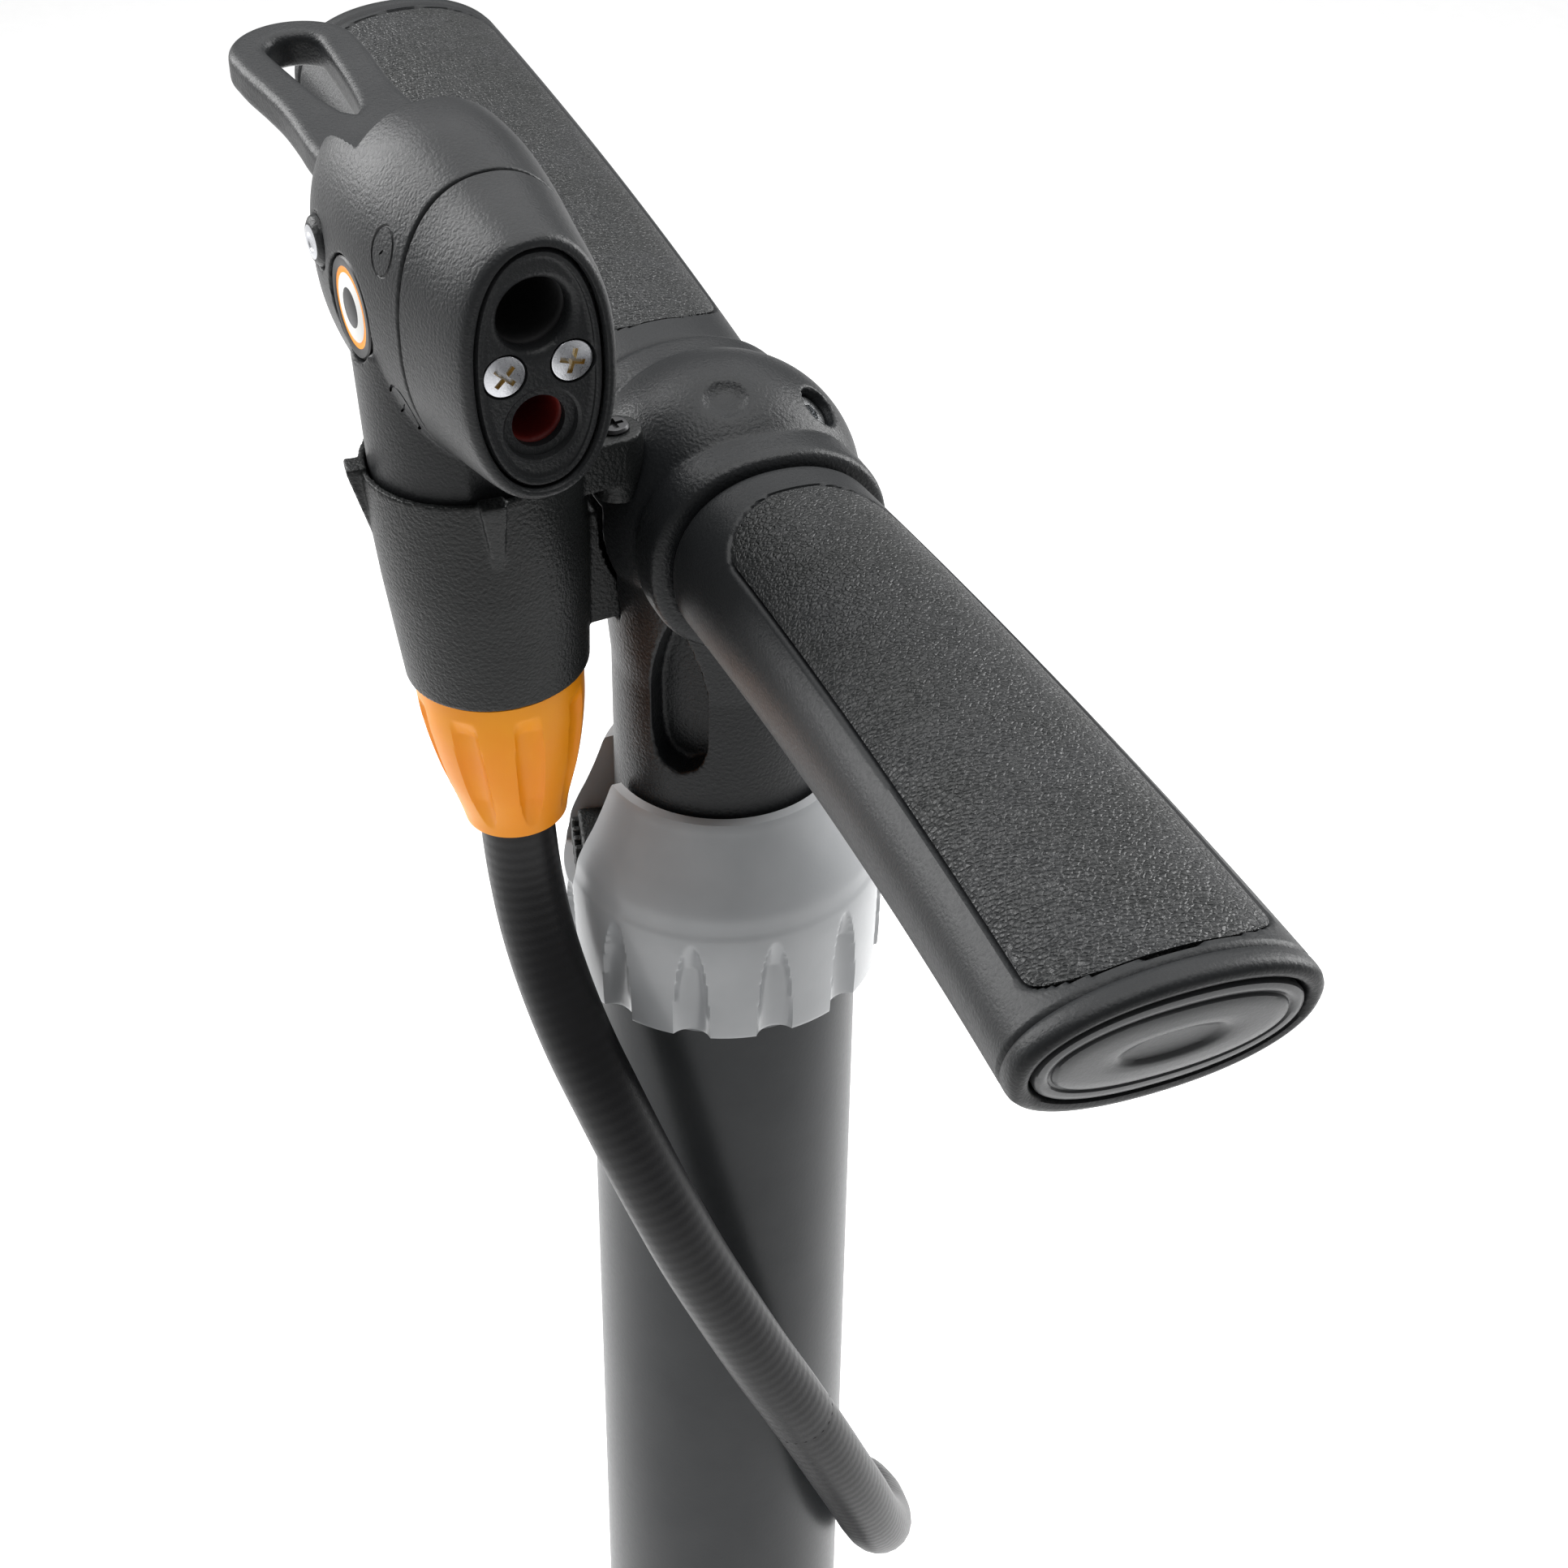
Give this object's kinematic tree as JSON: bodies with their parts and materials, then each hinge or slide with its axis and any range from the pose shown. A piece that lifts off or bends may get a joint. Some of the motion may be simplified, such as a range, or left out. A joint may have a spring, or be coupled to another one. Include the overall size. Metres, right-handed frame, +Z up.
{
  "type": "bicycle floor pump",
  "caption": "Tall bicycle floor pump: two-tread foot with gauge, slim barrel, T-handle with soft grips, and a lever pump head on a wound hose parked in a cup beside the handle.",
  "frame": {"origin": "on the floor, under the barrel axis, at the middle of the foot", "axes": "+Z up along the barrel; +X along the handle towards the end the head's valve sockets face; -Y towards the gauge and the parked head"},
  "size_m": [0.272, 0.164, 0.7168],
  "materials": {
    "black_plastic": "satin",
    "cup_plastic": "fine spark grain",
    "head_plastic": "fine spark grain",
    "cap_plastic": "satin",
    "grip_skin": "smooth soft touch",
    "grip_grain": "leather grain",
    "collar_grey": "satin silver",
    "nut_orange": "gloss",
    "barrel_paint": "satin powder coat",
    "hose_rubber": "fine ribbed",
    "rubber": "matte",
    "gasket_red": "matte",
    "steel": "brushed",
    "screw_zinc": "zinc plated",
    "brass": "turned",
    "white_plastic": "natural",
    "dial_white": "printed",
    "needle_red": "gloss",
    "badge_face": "gloss",
    "lens": "clear"
  },
  "bodies": {
    "pump_body": {"base": "black_plastic", "foot_pad_1": "rubber", "foot_pad_2": "rubber", "foot_pad_3": "rubber", "foot_pad_4": "rubber", "foot_washer": "rubber", "valve_seat": "brass", "check_spring": "steel", "gauge_case": "black_plastic", "gauge_dial": "dial_white", "gauge_movement": "brass", "gauge_lens": "lens", "gauge_bezel": "collar_grey", "hose_port": "brass", "hose_ferrule": "steel", "barrel": "barrel_paint", "collar": "collar_grey", "barrel_cap": "black_plastic", "rod_bush": "white_plastic", "slot_latch": "black_plastic", "hose_lower": "hose_rubber"},
    "check_valve": {"check_poppet": "brass"},
    "needle": {"gauge_needle": "needle_red"},
    "handle": {"handle_hub": "black_plastic", "hub_plug": "black_plastic", "hub_screw": "steel", "stop_bumper": "rubber", "grip_near": "grip_skin", "grip_far": "grip_skin", "grip_pad_near": "grip_grain", "grip_pad_far": "grip_grain", "end_cap_near": "cap_plastic", "end_cap_far": "cap_plastic", "piston_rod": "steel", "rod_nut": "steel", "piston": "white_plastic", "piston_seal": "rubber", "holder_cup": "cup_plastic", "holder_screw": "steel", "hose_upper": "hose_rubber"},
    "head": {"head_body": "head_plastic", "head_snout": "head_plastic", "face_plate": "head_plastic", "face_screw_1": "screw_zinc", "face_screw_2": "screw_zinc", "large_gasket": "rubber", "small_gasket": "gasket_red", "badge": "badge_face", "lever_pin": "screw_zinc", "hose_nut": "nut_orange", "hose_barb": "brass"},
    "lever": {"clamp_lever": "head_plastic"},
    "plunger": {"clamp_plunger": "white_plastic"}
  },
  "joints": [
    {"name": "handle_slide", "type": "slide", "parent": "pump_body", "child": "handle", "axis": [0, 0, 1], "range_m": [0, 0.48]},
    {"name": "head_lift", "type": "slide", "parent": "handle", "child": "head", "axis": [0, -0.061, 0.9981], "range_m": [0, 0.06]},
    {"name": "lever_hinge", "type": "hinge", "parent": "head", "child": "lever", "pos_m": [-0.01294, -0.03454, 0.69849], "axis": [-0.061, 0.9978, 0.0261], "range_deg": [0, 90]},
    {"name": "plunger_slide", "type": "slide", "parent": "head", "child": "plunger", "axis": [0.9981, 0.061, 0], "range_m": [0, 0.00221]},
    {"name": "check_slide", "type": "slide", "parent": "pump_body", "child": "check_valve", "axis": [0, 0, -1], "range_m": [0, 0.0015], "stiffness_N_per_m": 100, "springref_m": -0.002, "deforming": ["check_spring"]},
    {"name": "needle_turn", "type": "hinge", "parent": "pump_body", "child": "needle", "pos_m": [0, -0.056, 0.044], "axis": [0, -0.6428, 0.766], "range_deg": [-270, 0], "stiffness_Nm_per_rad": 0.0005}
  ],
  "couplings": [
    {"joint": "plunger_slide", "follows": "lever_hinge", "m_per_rad": 0.0014006}
  ]
}
